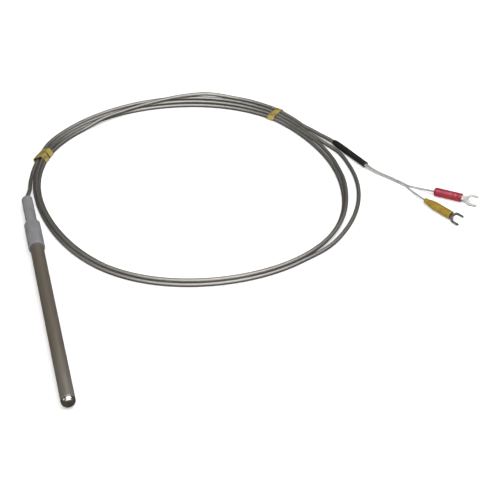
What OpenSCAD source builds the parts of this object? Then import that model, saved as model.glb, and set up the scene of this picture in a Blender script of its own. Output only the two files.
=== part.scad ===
// Tube thermocouple: a steel sheath with a braided lead that is coiled, tied and
// ends in two fork terminals. The probe lies along Y with its tip at -Y, and
// z = 0 is the surface that everything lies on.

/* [Sheath] */
// Outside diameter of the steel sheath tube
sheath_d = 8; // [7.6:0.1:8.4]
// Wall of the sheath tube
sheath_wall = 0.8; // [0.6:0.05:0.85]
// Length of the sheath from the tip to its cut end
sheath_length = 150; // [146:1:170]
// Radius that rounds the edge of the closed tip
tip_round = 2.6; // [1.5:0.1:3]

/* [Sleeves] */
// Outside diameter of the wide collar over the end of the sheath
collar_d = 9.8; // [9.6:0.1:11]
// Length of the wide collar
collar_length = 23; // [20:1:30]
// How far the wide collar reaches over the sheath
collar_overlap = 17; // [12:1:18]
// Outside diameter of the narrow strain relief sleeve
relief_d = 6.8; // [6.6:0.1:7.2]
// Length of the strain relief sleeve that shows behind the collar
relief_length = 27; // [24:1:32]

/* [Cable] */
// Outside diameter of the braided cable
cable_d = 2.5; // [2.3:0.1:2.6]
// Outside diameter of each single insulated lead
lead_d = 1.2; // [1:0.1:1.3]
// Radius of the coil at the middle of its innermost turn
coil_r = 94.9; // [94:0.1:96]
// Outside diameter of the black sleeve at the breakout
breakout_d = 4.2; // [4:0.1:5]
// Length of the black sleeve at the breakout
breakout_length = 32.5; // [28:0.5:34]

/* [Terminals] */
// Width over the two tines of a fork terminal
fork_w = 7.2; // [6.8:0.1:7.6]
// Width of the slot between the tines, for an M4 screw
fork_slot = 4.3; // [4:0.1:4.6]
// Thickness of the terminal's plate
fork_t = 0.8; // [0.6:0.1:1]
// Outside diameter of the coloured terminal sleeves
boot_d = 5.4; // [5.2:0.1:5.8]

/* [Hidden] */
$fn = 48;
clear = 0.05;

// Places along the probe
probe_length = sheath_length - collar_overlap + collar_length + relief_length;
tip_y = -probe_length / 2;
mouth_y = probe_length / 2;
axis_z = collar_d / 2;
bore_d = sheath_d - 2 * sheath_wall;
// Under the collar the sheath is turned down, so that the collar has a seat
seat_d = sheath_d - 0.5;

// Inside the sheath, measured from the tip
plug_length = 8;
junction_s = 10.5;
junction_d = 3.6;
bead_d = 5.2;
bead_length = 10;
bead_gap = 0.4;
bead_count = 10;
bead_start_s = 13;
bead_hole_d = 1;
wire_d = 0.8;
wire_x = 1.4;
splice_s = 119;
splice_length = 8;
splice_d = 1.8;
splice_sleeve_s = 117.5;
splice_sleeve_length = 13;
splice_sleeve_d = 2.6;
inner_lead_d = 1;
inner_lead_bend_s = 131;
seal_s = 136;
stripped_s = 147;
// How far the inner leads slant in between their bend and the stripped end of the cable
inner_lead_run = stripped_s - inner_lead_bend_s;
inner_lead_slant = atan((wire_x - cable_d / 4) / inner_lead_run);

// The ferrule that grips the braid at the end of the sheath
flange_length = 1.5;
ferrule_d = 5;
ferrule_length = 18;
cable_bore_d = cable_d + 2 * clear;
relief_bore_d = ferrule_d + 2 * clear;
edge = 0.5;

// The lead lies beside the probe: all its places are measured from the mouth
mouth = [0, mouth_y, 0];
coil_centre = [103, -7];
entry_angle = 160;
exit_angle = 29;
tie_left_angle = 146;
tie_right_angle = 42.5;
tie_band = 3.2;
tie_gap = 1.8;
tie_left_length = 2 * tie_band + tie_gap;
tie_t = 0.4;
// The turns lie flat in one layer where a tie grips them
core_top = tie_t + cable_d;
coil_h = 2 * cable_d;
coil_steps = 96;

// From the mouth of the relief down to the coil
lead_in_route = [
    [0, 0, axis_z], [0.4, 2.2, 4.9], [1.3, 4.8, 4.8], [2.3, 7.8, 4.5], [3.1, 11.2, 4],
    [3.7, 15.2, 3.3], [4.3, 19.5, 2.5], [5.1, 23.8, 1.8], [6.1, 28.3, cable_d / 2]
];

// From the coil into the black sleeve
breakout_start = [204.8, 17.3, breakout_d / 2];
breakout_heading = -67.6;
// The cable ends half way inside the black sleeve, where its two leads part
breakout_inner = breakout_length / 2;
cable_end = breakout_start + breakout_inner * heading_vector(breakout_heading);
tail_route = [
    [191, 41.8, cable_d / 2], [194.7, 35.8, 1.3], [198.1, 29.6, 1.5], [201.6, 23.4, 1.9]
];

// Both leads side by side, from the black sleeve to where they part
lead_pair_route = [
    [219, -16.4, 1.7], [221.6, -20.2, 1.2], [224.7, -23.8, 0.8], [227.8, -27.4, 0.6],
    [230.8, -31.4, 0.6], [233.6, -35.4, 0.6]
];
lead_hole_d = lead_d + 2 * clear;
lead_pitch = lead_hole_d + 0.2;

// The lead to the red sleeve, and the terminal on it
red_start = [249.9, -51.5, boot_d / 2];
red_heading = -36.5;
red_route = [[237, -39.2, 0.6], [240.6, -42.4, 0.8], [243.9, -45.7, 1.5], [246.9, -48.9, 2.3]];
red_boot_length = 17.8;

// The lead to the yellow sleeve, and the terminal on it
yellow_start = [241, -58.5, boot_d / 2];
yellow_heading = -61.5;
yellow_route = [
    [235.4, -39.2, 0.6], [236.6, -43.2, 0.7], [237.7, -47.2, 1.1], [238.7, -51.2, 1.8],
    [239.7, -55, 2.4]
];
yellow_boot_length = 21.5;

// A fork terminal, from the back of its barrel to the ends of its tines
fork_roll = 40;
barrel_d = 3.4;
barrel_length = 6;
barrel_bore_d = 1.8;
neck_w = 3.2;
fork_length = 17.8;
fork_eye_x = 13.9;
boot_bore_d = barrel_d + 2 * clear;
boot_wire_d = lead_d + 0.2;
red_barrel_s = 10;
yellow_barrel_s = 11.4;
bare_d = 0.8;
bare_length = 4.5;

steel = [0.42, 0.4, 0.36];
steel_light = [0.56, 0.55, 0.52];
grey_sleeve = [0.53, 0.53, 0.56];
braid = [0.5, 0.49, 0.46];
yellow_tie = [0.7, 0.63, 0.25];
black_sleeve = [0.08, 0.08, 0.08];
lead_white = [0.8, 0.8, 0.78];
boot_red = [0.68, 0.14, 0.2];
boot_yellow = [0.72, 0.56, 0.14];
tin = [0.66, 0.67, 0.66];
nickel_alloy = [0.6, 0.58, 0.52];
ceramic_white = [0.88, 0.86, 0.8];
fibre = [0.85, 0.8, 0.68];
potting = [0.75, 0.72, 0.65];
silicone = [0.7, 0.7, 0.68];

// ---- Shapes used more than once ----

// Turns a solid drawn along +Z so that it runs along the probe, from s past the tip
module along_probe(s) {
    translate([0, tip_y + s, axis_z]) rotate([-90, 0, 0]) children();
}

module ring_tube(outer_d, inner_d, length) {
    difference() {
        cylinder(d = outer_d, h = length);
        translate([0, 0, -1]) cylinder(d = inner_d, h = length + 2);
    }
}

// Stands a solid drawn along +X at a point beside the mouth, turned to a heading
module lay_along(start, heading) {
    translate(mouth + start) rotate([0, 0, heading]) children();
}

function heading_vector(angle) = [cos(angle), sin(angle), 0];
function unit(v) = v / norm(v);
function smooth(x) = let(t = max(0, min(1, x))) t * t * (3 - 2 * t);
function bump(angle, middle, reach) =
    abs(angle - middle) < reach ? pow(cos(90 * (angle - middle) / reach), 2) : 0;

// A plain tube of 8 sides along a list of points
function ring_points(route, i, r) =
    let(
        last = len(route) - 1,
        ahead = unit(route[min(i + 1, last)] - route[max(i - 1, 0)]),
        side = unit(cross(ahead, [0, 0, 1])),
        up = cross(side, ahead)
    )
    [for (k = [0:7]) route[i] + r * (cos(45 * k) * side + sin(45 * k) * up)];

module swept_tube(route, d) {
    count = len(route);
    points = [for (i = [0:count - 1]) each ring_points(route, i, d / 2)];
    walls = [
        for (i = [0:count - 2], k = [0:7])
            [8 * i + k, 8 * i + (k + 1) % 8, 8 * (i + 1) + (k + 1) % 8, 8 * (i + 1) + k]
    ];
    near_cap = [for (k = [7:-1:0]) k];
    far_cap = [for (k = [0:7]) 8 * (count - 1) + k];
    translate(mouth) polyhedron(points = points, faces = concat([near_cap, far_cap], walls));
}

// ---- The coil ----

// The innermost turn isn't a true circle: it is a little long one way, with soft corners
function inner_r(angle) =
    coil_r + 3.3 * cos(2 * (angle + 48)) + 0.8 * cos(3 * (angle - 44))
    + 1.7 * cos(4 * (angle + 38));

// Spacing of the turns: they touch at the ties and spread between them
function pitch(angle) = cable_d * (1 + 0.85 * bump(angle, 77, 60));

// On the right the outermost turn stands off from the others, beside the tail
function stand_off(angle) =
    7.1 * smooth((exit_angle - angle) / 24) * smooth((angle + 46) / 46);

// On the near side the middle turn rides on the other two, so the coil is narrower
function piled(angle) =
    smooth((angle - 143) / 17) + smooth((-angle - 46) / 16)
    - 0.4 * bump(angle > 0 ? angle - 360 : angle, -145, 45);

function outer_r(angle) =
    let(in_four = angle > exit_angle && angle < entry_angle)
    inner_r(angle) + ((in_four ? 3 : 2) - piled(angle)) * pitch(angle)
    + (in_four ? 0 : stand_off(angle));

function on_coil(r, angle) = coil_centre + r * [cos(angle), sin(angle)];

function steps_between(from, to) = max(2, ceil((to - from) / 360 * coil_steps));
function angles_between(from, to) =
    let(steps = steps_between(from, to))
    [for (i = [0:steps]) from + (to - from) * i / steps];

// A hair inside each end angle, so that the steps in outer_r stay sharp
hair = 0.001;
function outer_points(from, to, grow) = [
    for (a = angles_between(from, to))
        let(inside = max(from + hair, min(to - hair, a)))
        on_coil(outer_r(inside > 180 ? inside - 360 : inside) + grow, a)
];
function inner_points(from, to, grow) =
    [for (a = angles_between(from, to)) on_coil(inner_r(a) - grow, a)];

function tie_reach(length) = length / (coil_r + 1.5 * cable_d) * 180 / PI;

// The stretch of the coil that a wrap of tape grips, as a flat band of turns
module tie_core(middle, length, extra, z0, z1) {
    from = middle - tie_reach(length) / 2;
    to = middle + tie_reach(length) / 2;
    outer = outer_points(from, to, cable_d / 2 + extra);
    inner = inner_points(from, to, cable_d / 2 + extra);
    translate([0, 0, z0]) linear_extrude(z1 - z0)
        polygon(concat(outer, [for (i = [len(inner) - 1:-1:0]) inner[i]]));
}

module tie_wrap(middle, length) {
    difference() {
        tie_core(middle, length, tie_t, 0, core_top + tie_t);
        tie_core(middle, length + 1, 0, tie_t, core_top);
    }
}

// One closed ring of the coil's outer shape, stepped in where the ties grip it
module coil_solid() {
    grow = cable_d / 2;
    in_four = outer_points(exit_angle, entry_angle, grow);
    in_three = outer_points(entry_angle, 360 + exit_angle, grow);
    difference() {
        linear_extrude(coil_h) difference() {
            polygon(concat(in_four, in_three));
            polygon(inner_points(0, 360 - 360 / coil_steps, grow));
        }
        tie_core(tie_left_angle, tie_left_length, 3, -1, tie_t);
        tie_core(tie_left_angle, tie_left_length, 3, core_top, coil_h + 1);
        tie_core(tie_right_angle, tie_band, 3, -1, tie_t);
        tie_core(tie_right_angle, tie_band, 3, core_top, coil_h + 1);
    }
}

// ---- The probe ----

module sheath_tube() {
    color(steel) along_probe(tip_round) difference() {
        union() {
            cylinder(d = sheath_d, h = sheath_length - collar_overlap - tip_round);
            cylinder(d = seat_d, h = sheath_length - tip_round);
        }
        translate([0, 0, -1]) cylinder(d = bore_d, h = sheath_length);
    }
}

// The closed end: a plug with a rounded edge, welded into the tube
module tip_cap() {
    flat_r = sheath_d / 2 - tip_round;
    color(steel_light) along_probe(0) {
        rotate_extrude() intersection() {
            union() {
                translate([flat_r, tip_round]) circle(r = tip_round);
                square([flat_r, 2 * tip_round]);
            }
            square([sheath_d / 2, tip_round]);
        }
        translate([0, 0, tip_round - clear])
            cylinder(d = bore_d - 2 * clear, h = plug_length - tip_round + clear);
    }
}

module thermoelements_cut(d) {
    for (side = [-1, 1])
        along_probe(junction_s)
            translate([side * wire_x, 0, 0]) cylinder(d = d, h = splice_s - junction_s);
}

// The bead in which the two wires are welded together
module hot_junction() {
    color(nickel_alloy) difference() {
        along_probe(junction_s) sphere(d = junction_d);
        thermoelements_cut(wire_d + 2 * clear);
    }
}

module thermoelement(side) {
    color(nickel_alloy) along_probe(junction_s + clear)
        translate([side * wire_x, 0, 0])
            cylinder(d = wire_d, h = splice_s + splice_length / 2 - junction_s - 2 * clear);
}

module ceramic_insulators() {
    color(ceramic_white) for (i = [0:bead_count - 1])
        along_probe(bead_start_s + i * (bead_length + bead_gap)) difference() {
            cylinder(d = bead_d, h = bead_length);
            for (side = [-1, 1])
                translate([side * wire_x, 0, -1])
                    cylinder(d = bead_hole_d, h = bead_length + 2);
        }
}

// Pressed magnesia between the beads and the wall of the tube
module magnesia_filling() {
    end_s = bead_start_s + bead_count * (bead_length + bead_gap);
    color("white") along_probe(plug_length + clear)
        ring_tube(bore_d - 2 * clear, bead_d + 2 * clear, end_s - plug_length - clear);
}

module splice_crimp(side) {
    color(tin) along_probe(splice_s) translate([side * wire_x, 0, 0])
        ring_tube(splice_d, inner_lead_d + 2 * clear, splice_length);
}

module splice_sleeve(side) {
    color(fibre) along_probe(splice_sleeve_s) translate([side * wire_x, 0, 0])
        ring_tube(splice_sleeve_d, splice_d + 2 * clear, splice_sleeve_length);
}

function inside_probe(x, s) = [x, s - probe_length, axis_z];

// From the splice straight back, then slanting in to the stripped end of the cable
module inner_lead(side) {
    route = [
        inside_probe(side * wire_x, splice_s + splice_length / 2 + clear),
        inside_probe(side * wire_x, inner_lead_bend_s),
        inside_probe(side * cable_d / 4, stripped_s)
    ];
    color(fibre) swept_tube(route, inner_lead_d);
}

// The hole that an inner lead leaves in the potting
module inner_lead_hole(side) {
    along_probe(inner_lead_bend_s) translate([side * wire_x, 0, 0])
        rotate([0, -side * inner_lead_slant, 0])
            cylinder(d = inner_lead_d + 2 * clear, h = inner_lead_run + 1);
}

// Potting that closes the open end of the sheath
module end_seal() {
    color(potting) difference() {
        along_probe(seal_s)
            cylinder(d = bore_d - 2 * clear, h = sheath_length - seal_s - clear);
        inner_lead_hole(-1);
        inner_lead_hole(1);
        along_probe(stripped_s) cylinder(d = cable_bore_d, h = flange_length + 3);
    }
}

// Flanged ferrule: its flange seats on the sheath, its barrel grips the braid
module gland_ferrule() {
    color(steel_light) along_probe(sheath_length) difference() {
        union() {
            cylinder(d = seat_d, h = flange_length);
            cylinder(d = ferrule_d, h = ferrule_length);
        }
        translate([0, 0, -1]) cylinder(d = cable_bore_d, h = ferrule_length + 2);
    }
}

module cable_inner_end() {
    color(braid) along_probe(stripped_s + clear)
        cylinder(d = cable_d, h = probe_length - stripped_s - clear);
}

module relief_liner() {
    start_s = sheath_length + ferrule_length + clear;
    color(silicone) along_probe(start_s)
        ring_tube(ferrule_d, cable_bore_d, probe_length - start_s - edge);
}

// The wide collar: one bore over the sheath and a smaller one over the relief
module collar_sleeve() {
    step_s = sheath_length + flange_length + clear;
    start_s = sheath_length - collar_overlap;
    color(grey_sleeve) difference() {
        along_probe(start_s) {
            cylinder(d1 = collar_d - 2 * edge, d2 = collar_d, h = edge);
            translate([0, 0, edge]) cylinder(d = collar_d, h = collar_length - 2 * edge);
            translate([0, 0, collar_length - edge])
                cylinder(d1 = collar_d, d2 = collar_d - 2 * edge, h = edge);
        }
        along_probe(start_s - 1)
            cylinder(d = seat_d + 2 * clear, h = step_s - start_s + 1);
        along_probe(step_s - 1) cylinder(d = relief_d + 2 * clear, h = collar_length);
    }
}

module strain_relief_sleeve() {
    start_s = sheath_length + flange_length + 2 * clear;
    length = probe_length - start_s;
    color(grey_sleeve) along_probe(start_s) difference() {
        union() {
            cylinder(d = relief_d, h = length - edge);
            translate([0, 0, length - edge])
                cylinder(d1 = relief_d, d2 = relief_d - edge, h = edge);
        }
        translate([0, 0, -1]) cylinder(d = relief_bore_d, h = length + 2);
    }
}

// ---- The lead ----

module cable_lead_in() {
    color(braid) swept_tube(lead_in_route, cable_d);
}

module cable_coil() {
    color(braid) translate(mouth) coil_solid();
}

module cable_tail() {
    color(braid) swept_tube(concat(tail_route, [breakout_start, cable_end]), cable_d);
}

// A double wrap of tape: two bands with a gap between them
module tie_left() {
    offset_angle = tie_reach(tie_band + tie_gap) / 2;
    color(yellow_tie) translate(mouth) {
        tie_wrap(tie_left_angle - offset_angle, tie_band);
        tie_wrap(tie_left_angle + offset_angle, tie_band);
    }
}

module tie_right() {
    color(yellow_tie) translate(mouth) tie_wrap(tie_right_angle, tie_band);
}

// Black sleeve over the end of the braid: one bore for the cable, two for the leads
module breakout_sleeve() {
    color(black_sleeve) lay_along(breakout_start, breakout_heading) rotate([0, 90, 0])
        difference() {
            cylinder(d = breakout_d, h = breakout_length);
            translate([0, 0, -1]) cylinder(d = cable_bore_d, h = breakout_inner + 1 + clear);
            for (side = [-1, 1])
                translate([0, side * lead_pitch / 2, breakout_inner])
                    cylinder(d = lead_hole_d, h = breakout_length);
        }
}

// The pair's route moved half a pitch to one side, from inside the black sleeve
function pair_side(side) =
    let(
        across = side * lead_pitch / 2 * heading_vector(breakout_heading + 90),
        inside = cable_end + clear * heading_vector(breakout_heading),
        leave = breakout_start + breakout_length * heading_vector(breakout_heading),
        points = concat([inside, leave], lead_pair_route)
    )
    [for (p = points) p + across];

function boot_inside(start, heading, depth) = start + depth * heading_vector(heading);

module lead_positive() {
    inside = boot_inside(yellow_start, yellow_heading, yellow_barrel_s - clear);
    color(lead_white)
        swept_tube(concat(pair_side(-1), yellow_route, [yellow_start, inside]), lead_d);
}

module lead_negative() {
    inside = boot_inside(red_start, red_heading, red_barrel_s - clear);
    color(lead_white)
        swept_tube(concat(pair_side(1), red_route, [red_start, inside]), lead_d);
}

module bare_end(start, heading, barrel_s) {
    color(nickel_alloy) lay_along(start, heading) translate([barrel_s, 0, 0])
        rotate([0, 90, 0]) cylinder(d = bare_d, h = bare_length);
}

// The flat fork: a round eye that opens forward between two tines
module fork_plate() {
    translate([0, 0, -fork_t / 2]) linear_extrude(fork_t) difference() {
        union() {
            translate([barrel_length - 1, -neck_w / 2]) square([fork_eye_x - barrel_length, neck_w]);
            translate([fork_eye_x, 0]) circle(d = fork_w);
            translate([fork_eye_x, -fork_w / 2]) square([fork_length - fork_eye_x, fork_w]);
        }
        translate([fork_eye_x, 0]) circle(d = fork_slot);
        translate([fork_eye_x, -fork_slot / 2]) square([fork_length, fork_slot]);
    }
}

module fork_terminal(start, heading, barrel_s) {
    color(tin) lay_along(start, heading) translate([barrel_s, 0, 0])
        rotate([fork_roll, 0, 0]) difference() {
            union() {
                rotate([0, 90, 0]) cylinder(d = barrel_d, h = barrel_length);
                fork_plate();
            }
            translate([-1, 0, 0]) rotate([0, 90, 0])
                cylinder(d = barrel_bore_d, h = bare_length + 1 + clear);
        }
}

// A soft sleeve over the barrel: small hole for the lead, wide bore for the barrel
module boot(start, heading, length, barrel_s, tail_d, taper) {
    lay_along(start, heading) rotate([0, 90, 0]) difference() {
        union() {
            cylinder(d1 = tail_d, d2 = boot_d, h = taper);
            translate([0, 0, taper]) cylinder(d = boot_d, h = length - taper);
        }
        translate([0, 0, -1]) cylinder(d = boot_wire_d, h = barrel_s + 1);
        translate([0, 0, barrel_s - clear]) cylinder(d = boot_bore_d, h = length);
    }
}

module terminal_boot_positive() {
    color(boot_yellow)
        boot(yellow_start, yellow_heading, yellow_boot_length, yellow_barrel_s, 3, 9);
}

module terminal_boot_negative() {
    color(boot_red) boot(red_start, red_heading, red_boot_length, red_barrel_s, 4.8, 0.6);
}

sheath_tube();
tip_cap();
hot_junction();
thermoelement(1);  // thermoelement_positive
thermoelement(-1);  // thermoelement_negative
ceramic_insulators();
magnesia_filling();
splice_crimp(1);  // splice_crimp_positive
splice_crimp(-1);  // splice_crimp_negative
splice_sleeve(1);  // splice_sleeve_positive
splice_sleeve(-1);  // splice_sleeve_negative
inner_lead(1);  // inner_lead_positive
inner_lead(-1);  // inner_lead_negative
end_seal();
gland_ferrule();
cable_inner_end();
relief_liner();
collar_sleeve();
strain_relief_sleeve();
cable_lead_in();
cable_coil();
cable_tail();
tie_left();
tie_right();
breakout_sleeve();
lead_positive();
lead_negative();
bare_end(yellow_start, yellow_heading, yellow_barrel_s);  // bare_end_positive
bare_end(red_start, red_heading, red_barrel_s);  // bare_end_negative
fork_terminal(yellow_start, yellow_heading, yellow_barrel_s);  // terminal_positive
fork_terminal(red_start, red_heading, red_barrel_s);  // terminal_negative
terminal_boot_positive();
terminal_boot_negative();
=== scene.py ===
"""Looks of the tube thermocouple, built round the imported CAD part, in metres."""

import math

import bmesh
import bpy
import numpy as np
from mathutils import Matrix, Vector


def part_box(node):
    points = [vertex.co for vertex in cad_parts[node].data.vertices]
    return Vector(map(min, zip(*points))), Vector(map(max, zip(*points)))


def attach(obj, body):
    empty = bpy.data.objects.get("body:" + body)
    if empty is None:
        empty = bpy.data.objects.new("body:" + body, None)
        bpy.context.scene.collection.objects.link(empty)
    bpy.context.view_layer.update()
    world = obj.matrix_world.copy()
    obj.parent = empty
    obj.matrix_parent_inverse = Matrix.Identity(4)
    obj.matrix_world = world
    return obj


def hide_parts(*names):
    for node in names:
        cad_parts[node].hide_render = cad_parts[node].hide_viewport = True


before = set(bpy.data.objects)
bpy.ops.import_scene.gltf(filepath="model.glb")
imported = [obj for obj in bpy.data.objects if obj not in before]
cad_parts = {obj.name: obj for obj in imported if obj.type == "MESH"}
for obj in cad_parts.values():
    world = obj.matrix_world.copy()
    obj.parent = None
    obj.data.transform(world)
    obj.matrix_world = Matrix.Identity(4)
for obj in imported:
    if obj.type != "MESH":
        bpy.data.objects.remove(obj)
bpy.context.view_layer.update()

# ---- Sizes, from the frame where it has them ----


def node_size(node):
    low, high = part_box(node)
    return high - low


TIP_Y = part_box("tip_cap")[0].y
MOUTH = Vector((0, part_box("cable_inner_end")[1].y, 0))
COLLAR_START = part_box("collar_sleeve")[0].y
COLLAR_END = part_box("collar_sleeve")[1].y
RELIEF_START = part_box("strain_relief_sleeve")[0].y
SHEATH_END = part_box("sheath_tube")[1].y
CAP_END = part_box("tip_cap")[1].y
SHEATH_R = node_size("sheath_tube").x / 2
COLLAR_R = node_size("collar_sleeve").x / 2
RELIEF_R = node_size("strain_relief_sleeve").x / 2
LINER_R = node_size("relief_liner").x / 2
CABLE_D = node_size("cable_inner_end").x
AXIS_Z = COLLAR_R
LEAD_D = 0.0012
TIP_ROUND = 0.0026
SHEATH_WALL = 0.0008

# The coil: three full turns and a part turn, wound clockwise from entry to exit, in degrees
COIL_CENTRE = (0.103, -0.007)
COIL_R = 0.0949
ENTRY = 160
EXIT = 29
FULL_TURNS = 3

# The ties: where they are on the coil, in degrees, and how far their tape lifts the strands
LEFT_TIE = 146
RIGHT_TIE = 42.5
TAPE_T = 0.0004

LEAD_IN_ROUTE = [
    (0, 0, 0.0049), (0.0004, 0.0022, 0.0049), (0.0013, 0.0048, 0.0048), (0.0023, 0.0078, 0.0045),
    (0.0031, 0.0112, 0.004), (0.0037, 0.0152, 0.0033), (0.0043, 0.0195, 0.0025),
    (0.0051, 0.0238, 0.0018), (0.0061, 0.0283, 0.00125),
]
TAIL_ROUTE = [
    (0.191, 0.0418, 0.00125), (0.1947, 0.0358, 0.0013), (0.1981, 0.0296, 0.0015),
    (0.2016, 0.0234, 0.0019),
]
BREAKOUT_START = (0.2048, 0.0173, 0.0021)
BREAKOUT_HEADING = -67.6
BREAKOUT_LENGTH = 0.0325
BREAKOUT_R = 0.0021
LEAD_PAIR_ROUTE = [
    (0.219, -0.0164, 0.0017), (0.2216, -0.0202, 0.0012), (0.2247, -0.0238, 0.0008),
    (0.2278, -0.0274, 0.0006), (0.2308, -0.0314, 0.0006), (0.2336, -0.0354, 0.0006),
]
LEAD_PITCH = 0.0015
RED_START = (0.2499, -0.0515, 0.0027)
RED_HEADING = -36.5
RED_ROUTE = [
    (0.237, -0.0392, 0.0006), (0.2406, -0.0424, 0.0008), (0.2439, -0.0457, 0.0015),
    (0.2469, -0.0489, 0.0023),
]
YELLOW_START = (0.241, -0.0585, 0.0027)
YELLOW_HEADING = -61.5
YELLOW_ROUTE = [
    (0.2354, -0.0392, 0.0006), (0.2366, -0.0432, 0.0007), (0.2377, -0.0472, 0.0011),
    (0.2387, -0.0512, 0.0018), (0.2397, -0.055, 0.0024),
]
RED_BARREL = 0.010
YELLOW_BARREL = 0.0114
RED_BOOT_LENGTH = 0.0178
YELLOW_BOOT_LENGTH = 0.0215
BOOT_R = 0.0027
BARREL_R = 0.0017
BARREL_LENGTH = 0.006
FORK_ROLL = 40
FORK_EYE = 0.0139
FORK_LENGTH = 0.0178
FORK_R = 0.0036
SLOT_R = 0.00215
FORK_T = 0.0008


# ---- Curves and meshes ----


def smooth(x):
    """0 before 0, 1 after 1, and an S curve between them."""
    t = min(1.0, max(0.0, x))
    return t * t * (3 - 2 * t)


def bump(angle, middle, reach):
    """1 at the middle, falling to 0 at reach on both sides."""
    if abs(angle - middle) >= reach:
        return 0.0
    return math.cos(math.radians(90 * (angle - middle) / reach)) ** 2


def direction(heading):
    return Vector((math.cos(math.radians(heading)), math.sin(math.radians(heading)), 0))


def from_mouth(points):
    return [Vector(p) + MOUTH for p in points]


def even_line(points, spacing):
    """Points evenly spaced along the smooth curve through the given ones."""
    p = np.array([tuple(q) for q in points], float)
    knots = np.concatenate([[0], np.cumsum(np.linalg.norm(np.diff(p, axis=0), axis=1))])
    slopes = np.gradient(p, knots, axis=0)
    fine = np.linspace(0, knots[-1], 4 * int(knots[-1] / spacing) + 8)
    i = np.clip(np.searchsorted(knots, fine, side="right") - 1, 0, len(p) - 2)
    span = (knots[i + 1] - knots[i])[:, None]
    t = (fine - knots[i])[:, None] / span
    curve = (
        p[i] * (2 * t**3 - 3 * t**2 + 1)
        + p[i + 1] * (3 * t**2 - 2 * t**3)
        + slopes[i] * span * (t**3 - 2 * t**2 + t)
        + slopes[i + 1] * span * (t**3 - t**2)
    )
    along = np.concatenate([[0], np.cumsum(np.linalg.norm(np.diff(curve, axis=0), axis=1))])
    at = np.linspace(0, along[-1], int(round(along[-1] / spacing)) + 1)
    return np.stack([np.interp(at, along, curve[:, k]) for k in range(3)], axis=1)


def cross_axes(line):
    """The level side axis and the upward axis at each point of a line."""
    ahead = np.gradient(line, axis=0)
    ahead /= np.linalg.norm(ahead, axis=1)[:, None]
    side = np.cross(ahead, (0, 0, 1))
    side /= np.linalg.norm(side, axis=1)[:, None]
    return side, np.cross(side, ahead)


def make_object(name, points, faces, material, smooth_shaded=True, cell_uvs=None):
    mesh = bpy.data.meshes.new(name)
    mesh.from_pydata([tuple(p) for p in points], [], faces)
    if cell_uvs is not None:
        layer = mesh.uv_layers.new(name="cells")
        layer.data.foreach_set("uv", np.array(cell_uvs, np.float32).ravel())
    mesh.polygons.foreach_set("use_smooth", [smooth_shaded] * len(mesh.polygons))
    mesh.materials.append(material)
    made = bpy.data.objects.new(name, mesh)
    bpy.context.scene.collection.objects.link(made)
    return made


def tube(name, line, radii, material):
    """A closed tube along a line. radii has a row for each point of the line and a column for
    each side. Its UV map counts sides and rings."""
    rings, sides = radii.shape
    side, up = cross_axes(line)
    turn = 2 * np.pi * np.arange(sides) / sides
    out = np.cos(turn)[None, :, None] * side[:, None] + np.sin(turn)[None, :, None] * up[:, None]
    points = (line[:, None] + radii[:, :, None] * out).reshape(-1, 3)
    i, k = np.meshgrid(np.arange(rings - 1), np.arange(sides), indexing="ij")
    after = (k + 1) % sides
    walls = np.stack(
        [sides * i + k, sides * (i + 1) + k, sides * (i + 1) + after, sides * i + after], axis=-1
    ).reshape(-1, 4)
    cells = np.stack(
        [np.stack([k, i], -1), np.stack([k, i + 1], -1), np.stack([k + 1, i + 1], -1),
         np.stack([k + 1, i], -1)], axis=-2,
    ).reshape(-1, 2)
    last = sides * (rings - 1)
    caps = [list(range(sides)), [last + s for s in reversed(range(sides))]]
    cap_cells = np.zeros((2 * sides, 2))
    return make_object(
        name, points, walls.tolist() + caps, material, cell_uvs=np.concatenate([cells, cap_cells])
    )


def turned(name, place, profile, material, sides=96, shape=None):
    """A closed solid of revolution about place's X axis. profile is a closed loop of
    (distance along, radius); a radius of 0 ends it on the axis. shape(along, angle) gives a
    factor for the radius and a shift along the axis."""
    points = []
    rows = []
    for along, radius in profile:
        if radius == 0:
            rows.append([len(points)])
            points.append(place @ Vector((along, 0, 0)))
            continue
        row = []
        for k in range(sides):
            angle = 2 * math.pi * k / sides
            scale, shift = shape(along, angle) if shape else (1, 0)
            r = radius * scale
            row.append(len(points))
            points.append(place @ Vector((along + shift, r * math.cos(angle), r * math.sin(angle))))
        rows.append(row)
    faces = []
    for here, there in zip(rows, rows[1:] + rows[:1]):
        if len(here) == 1 and len(there) == 1:
            continue
        for k in range(sides):
            j = (k + 1) % sides
            if len(here) == 1:
                faces.append([here[0], there[j], there[k]])
            elif len(there) == 1:
                faces.append([here[k], here[j], there[0]])
            else:
                faces.append([here[k], here[j], there[j], there[k]])
    return make_object(name, points, faces, material)


def arc(centre, radius, start, end, steps):
    """Points of a circular arc, angles in degrees."""
    angles = [math.radians(start + (end - start) * i / steps) for i in range(steps + 1)]
    return [(centre[0] + radius * math.cos(a), centre[1] + radius * math.sin(a)) for a in angles]


def along_probe(y):
    """A place on the probe's axis whose X axis runs along the probe."""
    return Matrix.Translation((0, y, AXIS_Z)) @ Matrix.Rotation(math.radians(90), 4, "Z")


def lying(start, heading, roll=0):
    """A place at a point beside the mouth whose X axis runs along a heading."""
    return (
        Matrix.Translation(Vector(start) + MOUTH)
        @ Matrix.Rotation(math.radians(heading), 4, "Z")
        @ Matrix.Rotation(math.radians(roll), 4, "X")
    )


# ---- Materials ----


def node(tree, kind, inputs=None, **settings):
    """A shader node. An input's value is a number, a colour, or an output to link to it."""
    made = tree.nodes.new("ShaderNode" + kind)
    for key, value in settings.items():
        setattr(made, key, value)
    for key, value in (inputs or {}).items():
        if isinstance(value, bpy.types.NodeSocket):
            tree.links.new(value, made.inputs[key])
        else:
            made.inputs[key].default_value = value
    return made


def math_node(tree, operation, a, b=0.0, c=0.0):
    return node(tree, "Math", {0: a, 1: b, 2: c}, operation=operation).outputs[0]


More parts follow.
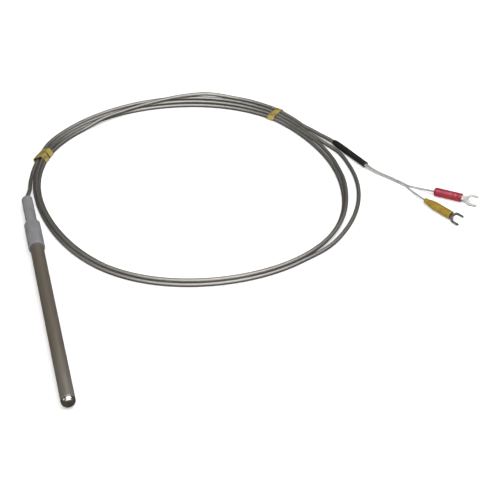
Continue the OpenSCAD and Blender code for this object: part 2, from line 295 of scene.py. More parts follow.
def new_material(name, **values):
    """A Principled material with uniform values on its sockets, and its node tree."""
    material = bpy.data.materials.new(name)
    material.use_nodes = True
    shader = material.node_tree.nodes["Principled BSDF"]
    for key, value in values.items():
        shader.inputs[key.replace("_", " ").title()].default_value = value
    return material, material.node_tree, shader


def stretched(tree, stretch=(1, 1, 1)):
    """The piece's own coordinates, scaled on each axis."""
    where = node(tree, "TexCoord").outputs["Object"]
    return node(tree, "Mapping", {"Vector": where, "Scale": stretch}).outputs["Vector"]


def noise(tree, vector, scale, detail=4, roughness=0.55):
    made = node(
        tree, "TexNoise",
        {"Vector": vector, "Scale": scale, "Detail": detail, "Roughness": roughness},
    )
    return made.outputs["Fac"]


def ramp(tree, value, stops):
    """Colours at places from 0 to 1 along a value."""
    made = node(tree, "ValToRGB", {"Fac": value})
    elements = made.color_ramp.elements
    while len(elements) < len(stops):
        elements.new(0.5)
    for element, (place, colour) in zip(elements, stops):
        element.position = place
        element.color = (*colour, 1)
    return made.outputs["Color"]


def between(tree, value, low, high):
    return node(tree, "MapRange", {"Value": value, "To Min": low, "To Max": high}).outputs[0]


def along_y(tree, start, end, full=1.0):
    """0 at one place along the probe, rising to its full value at the other."""
    where = node(tree, "TexCoord").outputs["Object"]
    y = node(tree, "SeparateXYZ", {"Vector": where}).outputs["Y"]
    fade = node(
        tree, "MapRange", {"Value": y, "From Min": start, "From Max": end, "To Max": full}
    )
    return fade.outputs[0]


def mixed(tree, share, a, b, blend="MIX"):
    """A mix of two colours, each of them a colour or an output."""
    made = node(tree, "Mix", data_type="RGBA", blend_type=blend)
    for socket, value in (("Factor_Float", share), ("A_Color", a), ("B_Color", b)):
        target = next(s for s in made.inputs if s.identifier == socket)
        if isinstance(value, bpy.types.NodeSocket):
            tree.links.new(value, target)
        elif isinstance(value, tuple):
            target.default_value = (*value, 1)
        else:
            target.default_value = value
    return next(s for s in made.outputs if s.identifier == "Result_Color")


def raise_surface(tree, shader, height, depth, strength=1.0):
    """Lets a height from 0 to 1 stand out by depth, in metres."""
    made = node(tree, "Bump", {"Height": height, "Distance": depth, "Strength": strength})
    tree.links.new(made.outputs["Normal"], shader.inputs["Normal"])


def grainy(name, dark, light, scale, stretch=(1, 1, 1), rough=(0.4, 0.6), depth=0.00002,
           fine=4000, **values):
    """A material of two close colours in soft patches, with a fine grain."""
    material, tree, shader = new_material(name, **values)
    where = stretched(tree, stretch)
    patches = noise(tree, where, scale)
    grain = noise(tree, where, fine, detail=2)
    colour = ramp(tree, patches, [(0.3, dark), (0.7, light)])
    tree.links.new(colour, shader.inputs["Base Color"])
    tree.links.new(between(tree, patches, *rough), shader.inputs["Roughness"])
    raise_surface(tree, shader, grain, depth, 0.5)
    return material


def sheath_steel():
    """Drawn stainless tube: browned, with fine streaks along it and a paler tip."""
    material, tree, shader = new_material("sheath_steel", metallic=0.85)
    streaks = noise(tree, stretched(tree, (1, 0.02, 1)), 2600, detail=5)
    blotches = noise(tree, stretched(tree, (1, 0.35, 1)), 90, detail=3)
    scratches = noise(tree, stretched(tree, (1, 0.05, 1)), 900, detail=8, roughness=0.75)
    brown = ramp(tree, streaks, [(0.25, (0.36, 0.315, 0.26)), (0.75, (0.53, 0.48, 0.42))])
    pale = ramp(tree, streaks, [(0.25, (0.47, 0.44, 0.385)), (0.75, (0.66, 0.63, 0.57))])
    near_tip = along_y(tree, TIP_Y + 0.055, TIP_Y, 0.75)
    share = math_node(tree, "ADD", between(tree, blotches, -0.35, 0.35), near_tip)
    clamped = math_node(tree, "MINIMUM", math_node(tree, "MAXIMUM", share, 0.0), 1.0)
    tree.links.new(mixed(tree, clamped, brown, pale), shader.inputs["Base Color"])
    tree.links.new(between(tree, scratches, 0.26, 0.5), shader.inputs["Roughness"])
    raise_surface(tree, shader, streaks, 0.00002, 0.35)
    return material


def tip_steel():
    """The welded end: paler, brushed round, with a straw tint at the seam."""
    material, tree, shader = new_material("tip_steel", metallic=1.0)
    rings = noise(tree, stretched(tree, (0.3, 3, 0.3)), 1500, detail=4)
    steel = ramp(tree, rings, [(0.3, (0.50, 0.49, 0.46)), (0.7, (0.70, 0.69, 0.66))])
    seam = along_y(tree, TIP_Y + 0.0016, TIP_Y + 0.003)
    straw = (0.30, 0.25, 0.18)
    tree.links.new(mixed(tree, seam, steel, straw), shader.inputs["Base Color"])
    tree.links.new(between(tree, rings, 0.16, 0.32), shader.inputs["Roughness"])
    raise_surface(tree, shader, rings, 0.00002, 0.3)
    return material


def braid_steel():
    """Fine wire braid on the cable. In the UV map two sides are one crossing of the bands:
    bands of four wires lean both ways and pass over and under each other."""
    material, tree, shader = new_material("braid_steel", metallic=1.0)
    uv = node(tree, "UVMap", uv_map="cells").outputs["UV"]
    split = node(tree, "SeparateXYZ", {"Vector": uv})
    u, v = split.outputs["X"], split.outputs["Y"]
    half_sum = math_node(tree, "MULTIPLY", math_node(tree, "ADD", u, v), 0.5)
    half_gap = math_node(tree, "MULTIPLY", math_node(tree, "SUBTRACT", u, v), 0.5)
    band_a = math_node(tree, "ROUND", half_gap)
    band_b = math_node(tree, "ROUND", half_sum)
    across_a = math_node(tree, "SUBTRACT", half_gap, band_a)
    across_b = math_node(tree, "SUBTRACT", half_sum, band_b)
    number = math_node(tree, "ADD", band_a, band_b)
    odd = math_node(tree, "FLOORED_MODULO", number, 2.0)
    a_on_top = math_node(tree, "SUBTRACT", 1.0, odd)
    on_top = node(tree, "Mix", {0: a_on_top, 2: across_b, 3: across_a}).outputs[0]
    below = node(tree, "Mix", {0: a_on_top, 2: across_a, 3: across_b}).outputs[0]
    wire_angle = math_node(tree, "MULTIPLY", on_top, 4 * math.pi)
    wires = math_node(tree, "ABSOLUTE", math_node(tree, "COSINE", wire_angle))
    arch = math_node(tree, "COSINE", math_node(tree, "MULTIPLY", below, math.pi))
    edge = math_node(tree, "COSINE", math_node(tree, "MULTIPLY", on_top, 0.9 * math.pi))
    body = math_node(tree, "MULTIPLY", arch, edge)
    grooves = math_node(tree, "MULTIPLY_ADD", wires, 0.35, 0.65)
    height = math_node(tree, "MULTIPLY", body, grooves)
    dull = noise(tree, stretched(tree), 60, detail=3)
    # The colour follows the weave's height: painted shade, darkest where the bands dip under each
    # other and a little darker in the grooves between wires
    steel = ramp(tree, height, [
        (0.0, (0.10, 0.095, 0.085)), (0.35, (0.40, 0.39, 0.375)), (0.9, (0.75, 0.745, 0.735)),
    ])
    tone = ramp(tree, dull, [(0.3, (0.90, 0.89, 0.86)), (0.7, (1.0, 1.0, 1.0))])
    tree.links.new(mixed(tree, 1.0, steel, tone, "MULTIPLY"), shader.inputs["Base Color"])
    tree.links.new(between(tree, height, 0.58, 0.40), shader.inputs["Roughness"])
    raise_surface(tree, shader, height, 0.00008, 0.6)
    return material


def yellow_tape():
    """Thin yellow tape with creases, in random patches from yellow to dark brown; the dark brown is
    painted shade.
    """
    material, tree, shader = new_material("yellow_tape", coat_weight=0.15)
    where = stretched(tree)
    creases = noise(tree, where, 900, detail=6, roughness=0.65)
    patches = noise(tree, where, 260, detail=3)
    # Random patches: yellow and olive are the tape's own colour, and the dark brown end is painted
    # shade, scattered at random
    colour = ramp(tree, patches, [
        (0.32, (0.14, 0.09, 0.017)), (0.46, (0.35, 0.27, 0.065)), (0.70, (0.46, 0.38, 0.11)),
    ])
    tree.links.new(colour, shader.inputs["Base Color"])
    tree.links.new(between(tree, creases, 0.28, 0.5), shader.inputs["Roughness"])
    raise_surface(tree, shader, creases, 0.0001, 0.5)
    return material


def lead_insulation():
    """Light lapped insulation on the single leads."""
    material, tree, shader = new_material("lead_insulation", sheen_weight=0.2)
    uv = node(tree, "UVMap", uv_map="cells").outputs["UV"]
    split = node(tree, "SeparateXYZ", {"Vector": uv})
    lapped = math_node(tree, "MULTIPLY_ADD", split.outputs["Y"], 2.2, split.outputs["X"])
    wave = math_node(tree, "SINE", math_node(tree, "MULTIPLY", lapped, math.pi / 4))
    height = math_node(tree, "ABSOLUTE", wave)
    dirt = noise(tree, stretched(tree), 300, detail=4)
    white = ramp(tree, dirt, [(0.3, (0.30, 0.30, 0.29)), (0.7, (0.46, 0.46, 0.45))])
    tree.links.new(white, shader.inputs["Base Color"])
    tree.links.new(between(tree, dirt, 0.45, 0.6), shader.inputs["Roughness"])
    raise_surface(tree, shader, height, 0.00004, 0.5)
    return material


def vinyl(name, dark, light):
    """Soft glossy vinyl with slow changes of depth in its colour."""
    material, tree, shader = new_material(name, coat_weight=0.25, coat_roughness=0.25)
    where = stretched(tree)
    patches = noise(tree, where, 350, detail=3)
    grain = noise(tree, where, 2600, detail=3)
    tree.links.new(ramp(tree, patches, [(0.3, dark), (0.7, light)]), shader.inputs["Base Color"])
    tree.links.new(between(tree, grain, 0.3, 0.48), shader.inputs["Roughness"])
    raise_surface(tree, shader, grain, 0.00003, 0.35)
    return material


# ---- Camera, first, with the photograph's viewing angle ----

LENS = 96.8
CAMERA_PLACE = Vector((-0.0289, -0.5919, 0.5067))
CAMERA_TARGET = Vector((0.1238, 0.0148, 0))

camera_data = bpy.data.cameras.new("camera")
camera_data.lens = LENS
camera_data.sensor_width = 36
camera_data.clip_start = 0.05
camera = bpy.data.objects.new("camera", camera_data)
camera.location = CAMERA_PLACE
camera.rotation_euler = (CAMERA_TARGET - CAMERA_PLACE).to_track_quat("-Z", "Y").to_euler()
bpy.context.scene.collection.objects.link(camera)
bpy.context.scene.camera = camera

# ---- The coil's strands, which lie where the CAD has its flat coil ----

# Along the top the strands change lanes from the first angle down, over the span
CHANGE_FROM = 125
CHANGE_SPAN = 70
# The last part turn lies on top of the others between these angles, with a slope at each end
OVER_FROM = 127
OVER_TO = 60
OVER_SLOPE = 14


def inner_r(angle):
    """Middle of the innermost turn. The coil isn't a true circle."""
    return (
        COIL_R
        + 0.0033 * math.cos(math.radians(2 * (angle + 48)))
        + 0.0008 * math.cos(math.radians(3 * (angle - 44)))
        + 0.0017 * math.cos(math.radians(4 * (angle + 38)))
    )


def pitch(angle):
    """Spacing of the turns where they lie flat."""
    return CABLE_D * (1 + 0.85 * bump(angle, 77, 60))


def stand_off(angle):
    """How far the outermost turn stands off on the right."""
    return 0.0063 * smooth((EXIT - 2 - angle) / 22) * smooth((angle + 50) / 46)


def piled(angle):
    """1 where the middle turn rides on the other two, and 0 where all lie flat."""
    left = smooth((angle - 136) / 14)
    right = smooth((-angle - 46) / 16)
    loose = 0.4 * bump(angle - 360 if angle > 0 else angle, -145, 45)
    return left + right - loose


def lanes(angle):
    """How far out the four lanes are from the innermost turn. The outermost is used only along
    the top. On the right the second strand stands off and then climbs onto the first, and the
    third stands off further."""
    heap = piled(angle)
    gap = pitch(angle)
    if EXIT <= angle <= ENTRY:
        return [0.0, gap * (1 - heap / 2), gap * (2 - heap), gap * (3 - heap)]
    second = gap * (1 - heap / 2)
    if -60 < angle < EXIT:
        apart = 0.0027 + 0.0015 * smooth((EXIT - angle) / 14)
        second = apart - (apart - CABLE_D / 2) * smooth((9 - angle) / 36)
    third = gap * (2 - heap) + stand_off(angle) - 0.0008 * bump(angle, 14, 9)
    return [0.0009 * bump(angle, 3, 26), second, third, third + gap]


def strand(turn, angle):
    """Distance out from the innermost turn and height of a turn's middle. Strands too close to
    lie side by side pile up."""
    swept = angle if angle <= ENTRY else angle - 360
    # Along the top each turn moves one lane in, and the last part turn crosses to the outside
    step = smooth((CHANGE_FROM - swept) / CHANGE_SPAN)
    last = turn == FULL_TURNS
    lane = 3 * step if last else FULL_TURNS - turn - step
    out = lanes(angle)
    low = min(int(lane), 2)
    part = lane - low
    climbed = math.sqrt(CABLE_D**2 - min(CABLE_D, out[1] - out[0]) ** 2)
    height = CABLE_D / 2 + climbed * max(0, 1 - abs(lane - 1))
    if last:
        over = smooth((OVER_FROM - swept) / OVER_SLOPE) * smooth((swept - OVER_TO) / OVER_SLOPE)
        height += CABLE_D * over
    height += TAPE_T * (bump(angle, LEFT_TIE, 12) + bump(angle, RIGHT_TIE, 10))
    return out[low] + part * (out[low + 1] - out[low]), height


def coil_point(turned_by):
    """Where the cable is after that many degrees of winding."""
    turn = min(int(turned_by // 360), FULL_TURNS)
    swept = ENTRY - (turned_by - 360 * turn)
    angle = swept + 360 if swept <= -180 else swept
    out, height = strand(turn, angle)
    r = inner_r(angle) + out
    x, y = COIL_CENTRE
    return (
        x + r * math.cos(math.radians(angle)),
        y + r * math.sin(math.radians(angle)),
        height,
    )


# ---- Cords ----

BRAID_SIDES = 16
BRAID_RING = 0.0005
BRAID_RELIEF = 0.00004
COIL_STEP = 4
LEAD_SIDES = 16
LEAD_RING = 0.0005

braid = braid_steel()
insulation = lead_insulation()

winding = FULL_TURNS * 360 + ENTRY - EXIT
coil_points = [coil_point(a) for a in np.linspace(0, winding, winding // COIL_STEP + 1)]
cable_end = Vector(BREAKOUT_START) + BREAKOUT_LENGTH / 2 * direction(BREAKOUT_HEADING)
cable_line = even_line(
    from_mouth([*LEAD_IN_ROUTE[:-1], *coil_points, *TAIL_ROUTE[1:], BREAKOUT_START, cable_end]),
    BRAID_RING,
)
ring_number, side_number = np.indices((len(cable_line), BRAID_SIDES))
crossing = np.where((ring_number + side_number) % 2 == 0, 1.0, -1.0)
cable = tube("braided_cable", cable_line, CABLE_D / 2 + BRAID_RELIEF * crossing, braid)
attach(cable, "root")
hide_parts("cable_lead_in", "cable_coil", "cable_tail")


def lead_line(across, route, start, heading, depth):
    """One lead's line, from inside the black sleeve to the back of its terminal's barrel."""
    shift = across * LEAD_PITCH / 2 * direction(BREAKOUT_HEADING + 90)
    leave = Vector(BREAKOUT_START) + BREAKOUT_LENGTH * direction(BREAKOUT_HEADING)
    inside = cable_end + 0.00005 * direction(BREAKOUT_HEADING)
    halfway = (inside + leave) / 2
    pair = [Vector(p) + shift for p in (inside, halfway, leave, *LEAD_PAIR_ROUTE)]
    barrel = Vector(start) + depth * direction(heading)
    middle = (Vector(start) + barrel) / 2
    return even_line(from_mouth([*pair, *route, start, middle, barrel]), LEAD_RING)


def make_lead(name, node_name, line):
    lead = tube(name, line, np.full((len(line), LEAD_SIDES), LEAD_D / 2), insulation)
    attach(lead, "root")
    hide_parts(node_name)
    return lead


yellow_line = lead_line(-1, YELLOW_ROUTE, YELLOW_START, YELLOW_HEADING, YELLOW_BARREL)
red_line = lead_line(1, RED_ROUTE, RED_START, RED_HEADING, RED_BARREL)
yellow_lead = make_lead("single_lead_positive", "lead_positive", yellow_line)
red_lead = make_lead("single_lead_negative", "lead_negative", red_line)

# ---- Probe ----

sheath_finish = sheath_steel()
tip_finish = tip_steel()
sleeve_finish = grainy(
    "grey_sleeve", (0.21, 0.21, 0.225), (0.27, 0.27, 0.285), 220, (1, 0.5, 1),
    rough=(0.42, 0.62), depth=0.00003, fine=3500,
)


def make_sheath():
    """The drawn tube, drawn in a little under the collar."""
    start = TIP_Y + TIP_ROUND
    lip = 0.00015
    inner = SHEATH_R - SHEATH_WALL
    profile = [
        (start, SHEATH_R - lip), (start + lip, SHEATH_R - 0.00002), (start + 0.0004, SHEATH_R),
        (COLLAR_START + 0.002, SHEATH_R), (SHEATH_END, SHEATH_R - 0.00025),
        (SHEATH_END, inner), (start, inner),
    ]
    sheath = turned("sheath", along_probe(0), profile, sheath_finish)
    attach(sheath, "root")
    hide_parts("sheath_tube")


def make_tip():
    """The rounded plug, with a low weld bead where it meets the tube."""
    flat_r = SHEATH_R - TIP_ROUND
    rounded = [
        (TIP_Y + TIP_ROUND - x, flat_r + y)
        for x, y in arc((0, 0), TIP_ROUND, 0, 88, 18)
    ]
    bead_y = TIP_Y + TIP_ROUND
    profile = [
        (TIP_Y + 0.00004, 0), (TIP_Y + 0.00003, flat_r * 0.5), *rounded,
        (bead_y + 0.00005, SHEATH_R - 0.00012), (bead_y + 0.00005, SHEATH_R - SHEATH_WALL - 0.0001),
        (CAP_END, SHEATH_R - SHEATH_WALL - 0.0001), (CAP_END, 0),
    ]
    tip = turned("sheath_tip", along_probe(0), profile, tip_finish)
    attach(tip, "root")
    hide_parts("tip_cap")


def make_sleeve(name, node_name, start, end, outer, inner, lip, waves, slant=0):
    """A shrunk-on sleeve with rounded lips and slight waves in its wall. The far end may be cut
    at a slant."""

    def shape(along, angle):
        wave = math.sin(along * 700 + 2 * angle) * math.sin(along * 310 - angle)
        cut = smooth((along - end + 0.006) / 0.006) * slant
        return 1 + waves * wave, -cut * (1 + math.sin(angle))

    front = [(start + lip + x, outer - lip + y) for x, y in arc((0, 0), lip, 180, 90, 6)]
    back = [(end - lip + x, outer - lip + y) for x, y in arc((0, 0), lip, 90, 0, 6)]
    steps = 24
    wall = [
        (start + lip + (end - start - 2 * lip) * i / steps, outer) for i in range(1, steps)
    ]
    profile = [(start, inner), *front, *wall, *back, (end, inner)]
    sleeve = turned(name, along_probe(0), profile, sleeve_finish, shape=shape)
    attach(sleeve, "root")
    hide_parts(node_name)


make_sheath()
make_tip()
make_sleeve(
    "collar", "collar_sleeve", COLLAR_START, COLLAR_END, COLLAR_R, SHEATH_R + 0.00003,
    0.00025, 0.002,
)
make_sleeve(
    "strain_relief", "strain_relief_sleeve", RELIEF_START, MOUTH.y, RELIEF_R, LINER_R + 0.00004,
    0.00015, 0.003, 0.0004,
)

# ---- Ties ----

TAPE_LAYER = 0.00013
WRAP_STEPS = 96
WRAP_DOTS = 48
TAPE_COLUMNS = 9

tape_finish = yellow_tape()


def wrap_outline(angle, grow):
    """The line round all the strands where they are tied, as (out, up) points."""
    dots = []
    for turn in range(FULL_TURNS + 1):
        out, height = strand(turn, angle)
        reach = CABLE_D / 2 + grow
        for k in range(WRAP_DOTS):
            a = 2 * math.pi * k / WRAP_DOTS
            dots.append((out + reach * math.cos(a), height + reach * math.sin(a)))
    dots.sort()
    hull = []
    for half in (dots, dots[::-1]):
        chain = []
        for p in half:
            while len(chain) > 1 and (
                (chain[-1][0] - chain[-2][0]) * (p[1] - chain[-2][1])
                - (chain[-1][1] - chain[-2][1]) * (p[0] - chain[-2][0])
            ) <= 0:
                chain.pop()
            chain.append(p)
        hull += chain[:-1]
    line = np.array(hull + hull[:1])
    along = np.concatenate([[0], np.cumsum(np.linalg.norm(np.diff(line, axis=0), axis=1))])
    at = np.linspace(0, along[-1], WRAP_STEPS, endpoint=False)
    return np.stack([np.interp(at, along, line[:, k]) for k in range(2)], axis=1)


def tape(name, node_name, middle, width, turns, shifts):
    """A ribbon wound round the coil's strands. shifts says how far along the coil it is after
    each turn."""
    outward = Vector((math.cos(math.radians(middle)), math.sin(math.radians(middle)), 0))
    along = Vector((-outward.y, outward.x, 0))
    base = Vector((*COIL_CENTRE, 0)) + MOUTH + outward * inner_r(middle)
    outlines = [wrap_outline(middle, 0.00008 + TAPE_LAYER * k) for k in range(int(turns) + 2)]
    steps = int(turns * WRAP_STEPS)
    columns = TAPE_COLUMNS
    points = []
    for i in range(steps + 1):
        t = i / WRAP_STEPS
        k = int(t)
        rise = t - k
        out, up = (1 - rise) * outlines[k][i % WRAP_STEPS] + rise * outlines[k + 1][i % WRAP_STEPS]
        shift = np.interp(t, range(len(shifts)), shifts)
        skew = 0.0003 * math.sin(2.3 * t + middle)
        for j in range(columns):
            across = 2 * j / (columns - 1) - 1
            pucker = 0.00007 * math.cos(9 * across + 5 * t) * (1 - across**2)
            w = across * width / 2 + shift + skew * out / 0.01
            lift = Vector((0, 0, max(0.0001, up + pucker)))
            points.append(base + outward * out + along * w + lift)
    faces = [
        [columns * i + j, columns * (i + 1) + j, columns * (i + 1) + j + 1, columns * i + j + 1]
        for i in range(steps)
        for j in range(columns - 1)
    ]
    band = make_object(name, points, faces, tape_finish)
    thicken = band.modifiers.new("thickness", "SOLIDIFY")
    thicken.thickness = TAPE_LAYER * 0.8
    thicken.offset = 0
    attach(band, "root")
    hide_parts(node_name)
    return band


# The left tie is two bands with one slanting turn between them, and the right one a single band
left_tape = tape(
    "tape_left", "tie_left", LEFT_TIE, 0.0046, 4.4, [-0.0009, -0.0007, -0.0004, 0.0063, 0.0061]
)
right_tape = tape(
    "tape_right", "tie_right", RIGHT_TIE, 0.0042, 3.3, [0.0003, -0.0003, 0.0, 0.0002]
)

# ---- Black sleeve, terminals and their coloured sleeves ----

black_finish = grainy(
    "black_sleeve", (0.008, 0.008, 0.009), (0.016, 0.016, 0.018), 300, rough=(0.32, 0.5),
    depth=0.00003, fine=3000, coat_weight=0.1,
)
red_finish = vinyl("red_vinyl", (0.27, 0.014, 0.03), (0.42, 0.03, 0.06))
yellow_finish = vinyl("yellow_vinyl", (0.27, 0.16, 0.014), (0.40, 0.28, 0.03))
tin_finish = grainy(
    "tinned_copper", (0.20, 0.21, 0.20), (0.42, 0.43, 0.41), 500, rough=(0.3, 0.5),
    depth=0.00002, fine=3000, metallic=1.0,
)


def make_breakout():
    """Heat-shrink: tight on the braid at one end, drawn flat round the leads at the other."""

    def shape(along, angle):
        flat = 0.16 * smooth((along - 0.024) / 0.008)
        return 1 - flat * math.sin(angle) ** 2, 0

    length, r = BREAKOUT_LENGTH, BREAKOUT_R
    profile = [
        (0, 0.00132), (0, 0.0016), (0.0002, 0.00175), (0.0015, 0.0019), (0.003, 0.00203),
        (0.006, r), (0.012, r), (0.016, r - 0.00004), (0.0175, r - 0.00012), (0.021, r - 0.00008),
        (0.027, r - 0.0001), (length - 0.0006, r - 0.00005), (length - 0.0001, r - 0.0001),
        (length, r - 0.0002), (length, 0.0016), (length - 0.004, 0.0015), (0.017, 0.00145),
        (0.016, 0.00132),
    ]
    sleeve = turned(
        "breakout", lying(BREAKOUT_START, BREAKOUT_HEADING), profile, black_finish, 48, shape
    )
    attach(sleeve, "root")
    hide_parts("breakout_sleeve")
    return sleeve


def make_boot(name, node_name, start, heading, length, barrel, tail_r, taper, finish):
    """A vinyl sleeve, open in front, with two flats where the barrel was crimped."""

    def shape(along, angle):
        pressed = 0
        for place in (barrel + 0.0016, barrel + 0.0044):
            pressed += math.exp(-(((along - place) / 0.0009) ** 2))
        return 1 - 0.09 * pressed * math.cos(angle - math.radians(FORK_ROLL + 90)) ** 4, 0

    lip = 0.00025
    steps = 30
    wall = []
    for i in range(steps + 1):
        along = lip + (length - 2 * lip) * i / steps
        wall.append((along, tail_r + (BOOT_R - tail_r) * smooth(along / taper)))
    profile = [
        (barrel - 0.0003, 0.0007), (0.0006, 0.00068), (0, 0.00085), (0, tail_r - lip), *wall,
        (length, BOOT_R - lip), (length, BARREL_R + 0.0003), (length - 0.0006, BARREL_R + 0.00005),
        (barrel, BARREL_R + 0.00005),
    ]
    boot = turned(name, lying(start, heading), profile, finish, 48, shape)
    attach(boot, "root")
    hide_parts(node_name)
    return boot


def fork_outline():
    """One side of the flat fork, from the neck to the middle of the slot's round end."""
    fillet = 0.0014
    corner = 0.0011
    neck = 0.0016
    eye = (FORK_EYE, 0)
    # The fillet's circle touches the neck's straight edge and the round of the eye
    fillet_y = neck + fillet
    fillet_x = FORK_EYE - math.sqrt((FORK_R + fillet) ** 2 - fillet_y**2)
    meet = math.degrees(math.atan2(fillet_y, fillet_x - FORK_EYE))
    return [
        (BARREL_LENGTH + 0.0018, neck),
        *arc((fillet_x, fillet_y), fillet, -90, meet - 180, 6),
        *arc(eye, FORK_R, meet, 90, 10)[1:],
        *arc((FORK_LENGTH - corner, FORK_R - corner), corner, 90, 0, 6),
        *arc((FORK_LENGTH - 0.0003, SLOT_R + 0.0003), 0.0003, 0, -90, 3),
        *arc(eye, SLOT_R, 90, 180, 10),
    ]


def add_plate(shape):
    """The flat fork, with its edges broken."""
    half = fork_outline()
    outline = half + [(x, -y) for x, y in reversed(half[:-1])]
    top = [shape.verts.new((x, y, FORK_T / 2)) for x, y in outline]
    bottom = [shape.verts.new((x, y, -FORK_T / 2)) for x, y in outline]
    count = len(outline)
    shape.faces.new(top)
    shape.faces.new(list(reversed(bottom)))
    for i in range(count):
        j = (i + 1) % count
        shape.faces.new([top[j], top[i], bottom[i], bottom[j]])
    sharp = [e for e in shape.edges if e.calc_face_angle(0) > math.radians(60)]
    bmesh.ops.bevel(
        shape, geom=sharp, offset=0.00012, segments=2, profile=0.6, affect="EDGES"
    )
    bmesh.ops.triangulate(shape, faces=[f for f in shape.faces if len(f.verts) > 4])
    bmesh.ops.recalc_face_normals(shape, faces=shape.faces)


def add_barrel(shape):
    """The barrel: a tube for the lead that is pressed flat in front, onto the fork."""
    sides = 32
    bore_r = 0.0009
    bore_depth = 0.0046
    pressed_half_w = 0.0017
    flat_half = FORK_T / 2 * 0.98
    # Places along the barrel, and how much of its height is left there
    stations = [(0.0, 1.0), (0.0002, 1.0), (0.0045, 1.0), (0.0055, 0.9), (0.0065, 0.62),
                (0.0075, 0.35), (0.0085, 0.27)]
    rows = []
    for along, height in stations:
        flat = (1 - height) / 0.73
        half_w = BARREL_R * (1 - flat) + pressed_half_w * flat
        half_h = max(flat_half, BARREL_R * height)
        power = 1 - 0.6 * flat
        row = []
        for k in range(sides):
            a = 2 * math.pi * k / sides
            c, s = math.cos(a), math.sin(a)
            y = math.copysign(abs(c) ** power, c) * half_w
            z = math.copysign(abs(s) ** power, s) * half_h
            row.append(shape.verts.new((along, y, z)))
        rows.append(row)
    bore = []
    for along in (0.0, bore_depth):
        bore.append([
            shape.verts.new((along, bore_r * math.cos(2 * math.pi * k / sides),
                             bore_r * math.sin(2 * math.pi * k / sides)))
            for k in range(sides)
        ])
    loops = [*reversed(bore), *rows]
    for here, there in zip(loops, loops[1:]):
        for k in range(sides):
            j = (k + 1) % sides
            shape.faces.new([here[k], here[j], there[j], there[k]])
    shape.faces.new(list(reversed(rows[-1])))
    shape.faces.new(bore[1])
    bmesh.ops.recalc_face_normals(shape, faces=shape.faces)


def make_terminal(name, node_name, start, heading, barrel):
    """A stamped fork: a brazed barrel that flattens into the plate."""
    shape = bmesh.new()
    add_plate(shape)
    add_barrel(shape)
    shape.transform(lying(start, heading, FORK_ROLL) @ Matrix.Translation((barrel, 0, 0)))
    mesh = bpy.data.meshes.new(name)
    shape.to_mesh(mesh)
    shape.free()
    mesh.materials.append(tin_finish)
    mesh.polygons.foreach_set("use_smooth", [True] * len(mesh.polygons))
    mesh.set_sharp_from_angle(angle=math.radians(35))
    terminal = bpy.data.objects.new(name, mesh)
    bpy.context.scene.collection.objects.link(terminal)
    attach(terminal, "root")
    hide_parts(node_name)
    return terminal


breakout = make_breakout()
yellow_boot = make_boot(
    "vinyl_sleeve_positive", "terminal_boot_positive", YELLOW_START, YELLOW_HEADING,
    YELLOW_BOOT_LENGTH, YELLOW_BARREL, 0.0015, 0.009, yellow_finish,
)
red_boot = make_boot(
    "vinyl_sleeve_negative", "terminal_boot_negative", RED_START, RED_HEADING,
    RED_BOOT_LENGTH, RED_BARREL, 0.0024, 0.0012, red_finish,
)
yellow_fork = make_terminal(
    "fork_positive", "terminal_positive", YELLOW_START, YELLOW_HEADING, YELLOW_BARREL
)
red_fork = make_terminal("fork_negative", "terminal_negative", RED_START, RED_HEADING, RED_BARREL)

# ---- The pieces inside, which stay as the CAD made them ----

alloy = grainy("nickel_alloy", (0.50, 0.47, 0.40), (0.66, 0.63, 0.55), 700, (1, 0.1, 1),
               rough=(0.25, 0.4), metallic=1.0)
ceramic = grainy("fired_ceramic", (0.72, 0.69, 0.60), (0.84, 0.82, 0.75), 400, rough=(0.55, 0.75))
magnesia = grainy("magnesia", (0.80, 0.80, 0.77), (0.90, 0.90, 0.88), 1500, rough=(0.85, 0.95),
                  depth=0.00006)
fibre = grainy("glass_fibre", (0.66, 0.60, 0.46), (0.80, 0.75, 0.62), 900, (1, 0.2, 1),
               rough=(0.6, 0.8), depth=0.00005)
potting = grainy("potting", (0.52, 0.48, 0.40), (0.62, 0.58, 0.50), 500, rough=(0.4, 0.6))
liner = grainy("silicone_liner", (0.16, 0.16, 0.17), (0.24, 0.24, 0.25), 400, rough=(0.5, 0.7))
inner_braid = grainy("inner_braid", (0.25, 0.24, 0.21), (0.52, 0.50, 0.46), 1800,
                     rough=(0.4, 0.6), depth=0.00006, metallic=0.9)
ferrule_steel = grainy("ferrule_steel", (0.42, 0.41, 0.38), (0.58, 0.57, 0.54), 500,
                       rough=(0.25, 0.4), metallic=1.0)

INSIDE = {
    "hot_junction": alloy, "thermoelement_positive": alloy, "thermoelement_negative": alloy,
    "ceramic_insulators": ceramic, "magnesia_filling": magnesia,
    "splice_crimp_positive": tin_finish, "splice_crimp_negative": tin_finish,
    "splice_sleeve_positive": fibre, "splice_sleeve_negative": fibre,
    "inner_lead_positive": fibre, "inner_lead_negative": fibre, "end_seal": potting,
    "gland_ferrule": ferrule_steel, "cable_inner_end": inner_braid, "relief_liner": liner,
    "bare_end_positive": alloy, "bare_end_negative": alloy,
}
for name, finish in INSIDE.items():
    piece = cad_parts[name]
    for material_slot in piece.material_slots:
        material_slot.material = finish

# ---- Floor and light ----

scene = bpy.context.scene
scene.view_settings.view_transform = "Standard"

HALF_FLOOR = 4
WALL_R = 2.6
WALL_HEIGHT = 4.0
WALL_SIDES = 64


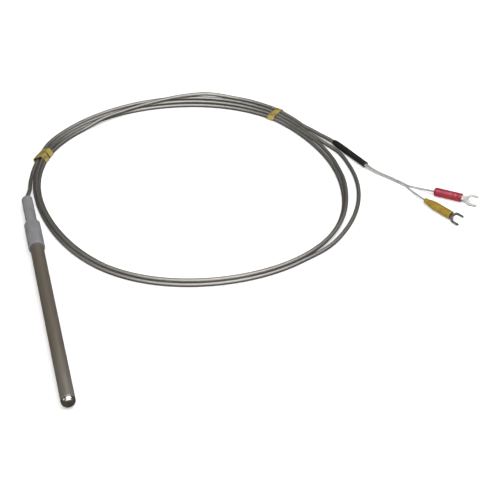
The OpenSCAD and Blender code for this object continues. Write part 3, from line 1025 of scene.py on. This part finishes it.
def room_piece(name, points, faces, colour, glow):
    """A matt, slightly glowing part of the room, which the object doesn't reflect."""
    finish, _, shader = new_material(name, roughness=0.9, emission_strength=glow)
    shader.inputs["Base Color"].default_value = (*colour, 1)
    shader.inputs["Specular IOR Level"].default_value = 0.0
    shader.inputs["Emission Color"].default_value = (1, 1, 1, 1)
    piece = make_object(name, points, faces, finish, smooth_shaded=False)
    piece.visible_glossy = False
    return piece


def make_wall():
    """A pale wall all round, behind the floor. It casts no light and no shadow."""
    corners = [2 * math.pi * i / WALL_SIDES for i in range(WALL_SIDES)]
    points = [
        (WALL_R * math.cos(a), WALL_R * math.sin(a), z) for z in (0, WALL_HEIGHT) for a in corners
    ]
    faces = []
    for i in range(WALL_SIDES):
        j = (i + 1) % WALL_SIDES
        faces.append([i, j, j + WALL_SIDES, i + WALL_SIDES])
    wall = room_piece("wall", points, faces, (0, 0, 0), 0.75)
    wall.visible_diffuse = False
    wall.visible_shadow = False


floor_corners = [
    (-HALF_FLOOR, -HALF_FLOOR, 0), (HALF_FLOOR, -HALF_FLOOR, 0),
    (HALF_FLOOR, HALF_FLOOR, 0), (-HALF_FLOOR, HALF_FLOOR, 0),
]
room_piece("floor", floor_corners, [[0, 1, 2, 3]], (0.92, 0.92, 0.92), 0.3)
make_wall()

world = bpy.data.worlds.new("room")
scene.world = world
world.use_nodes = True
backdrop = world.node_tree.nodes["Background"]
backdrop.inputs["Color"].default_value = (0.40, 0.36, 0.30, 1)
backdrop.inputs["Strength"].default_value = 0.22


def area_light(name, place, target, width, depth, watts):
    data = bpy.data.lights.new(name, "AREA")
    data.shape = "RECTANGLE"
    data.size = width
    data.size_y = depth
    data.energy = watts
    light = bpy.data.objects.new(name, data)
    light.location = place
    aim = Vector(target) - Vector(place)
    light.rotation_euler = aim.to_track_quat("-Z", "Y").to_euler()
    scene.collection.objects.link(light)


area_light("overhead", (0.26, -0.3, 1.1), (0.17, -0.03, 0), 1.35, 1.15, 16)
area_light("front", (0.15, -1.5, 0.75), (0.12, 0.0, 0), 1.8, 0.9, 10)
area_light("left", (-0.9, -0.2, 0.5), (0.1, 0.02, 0), 0.5, 0.5, 1)
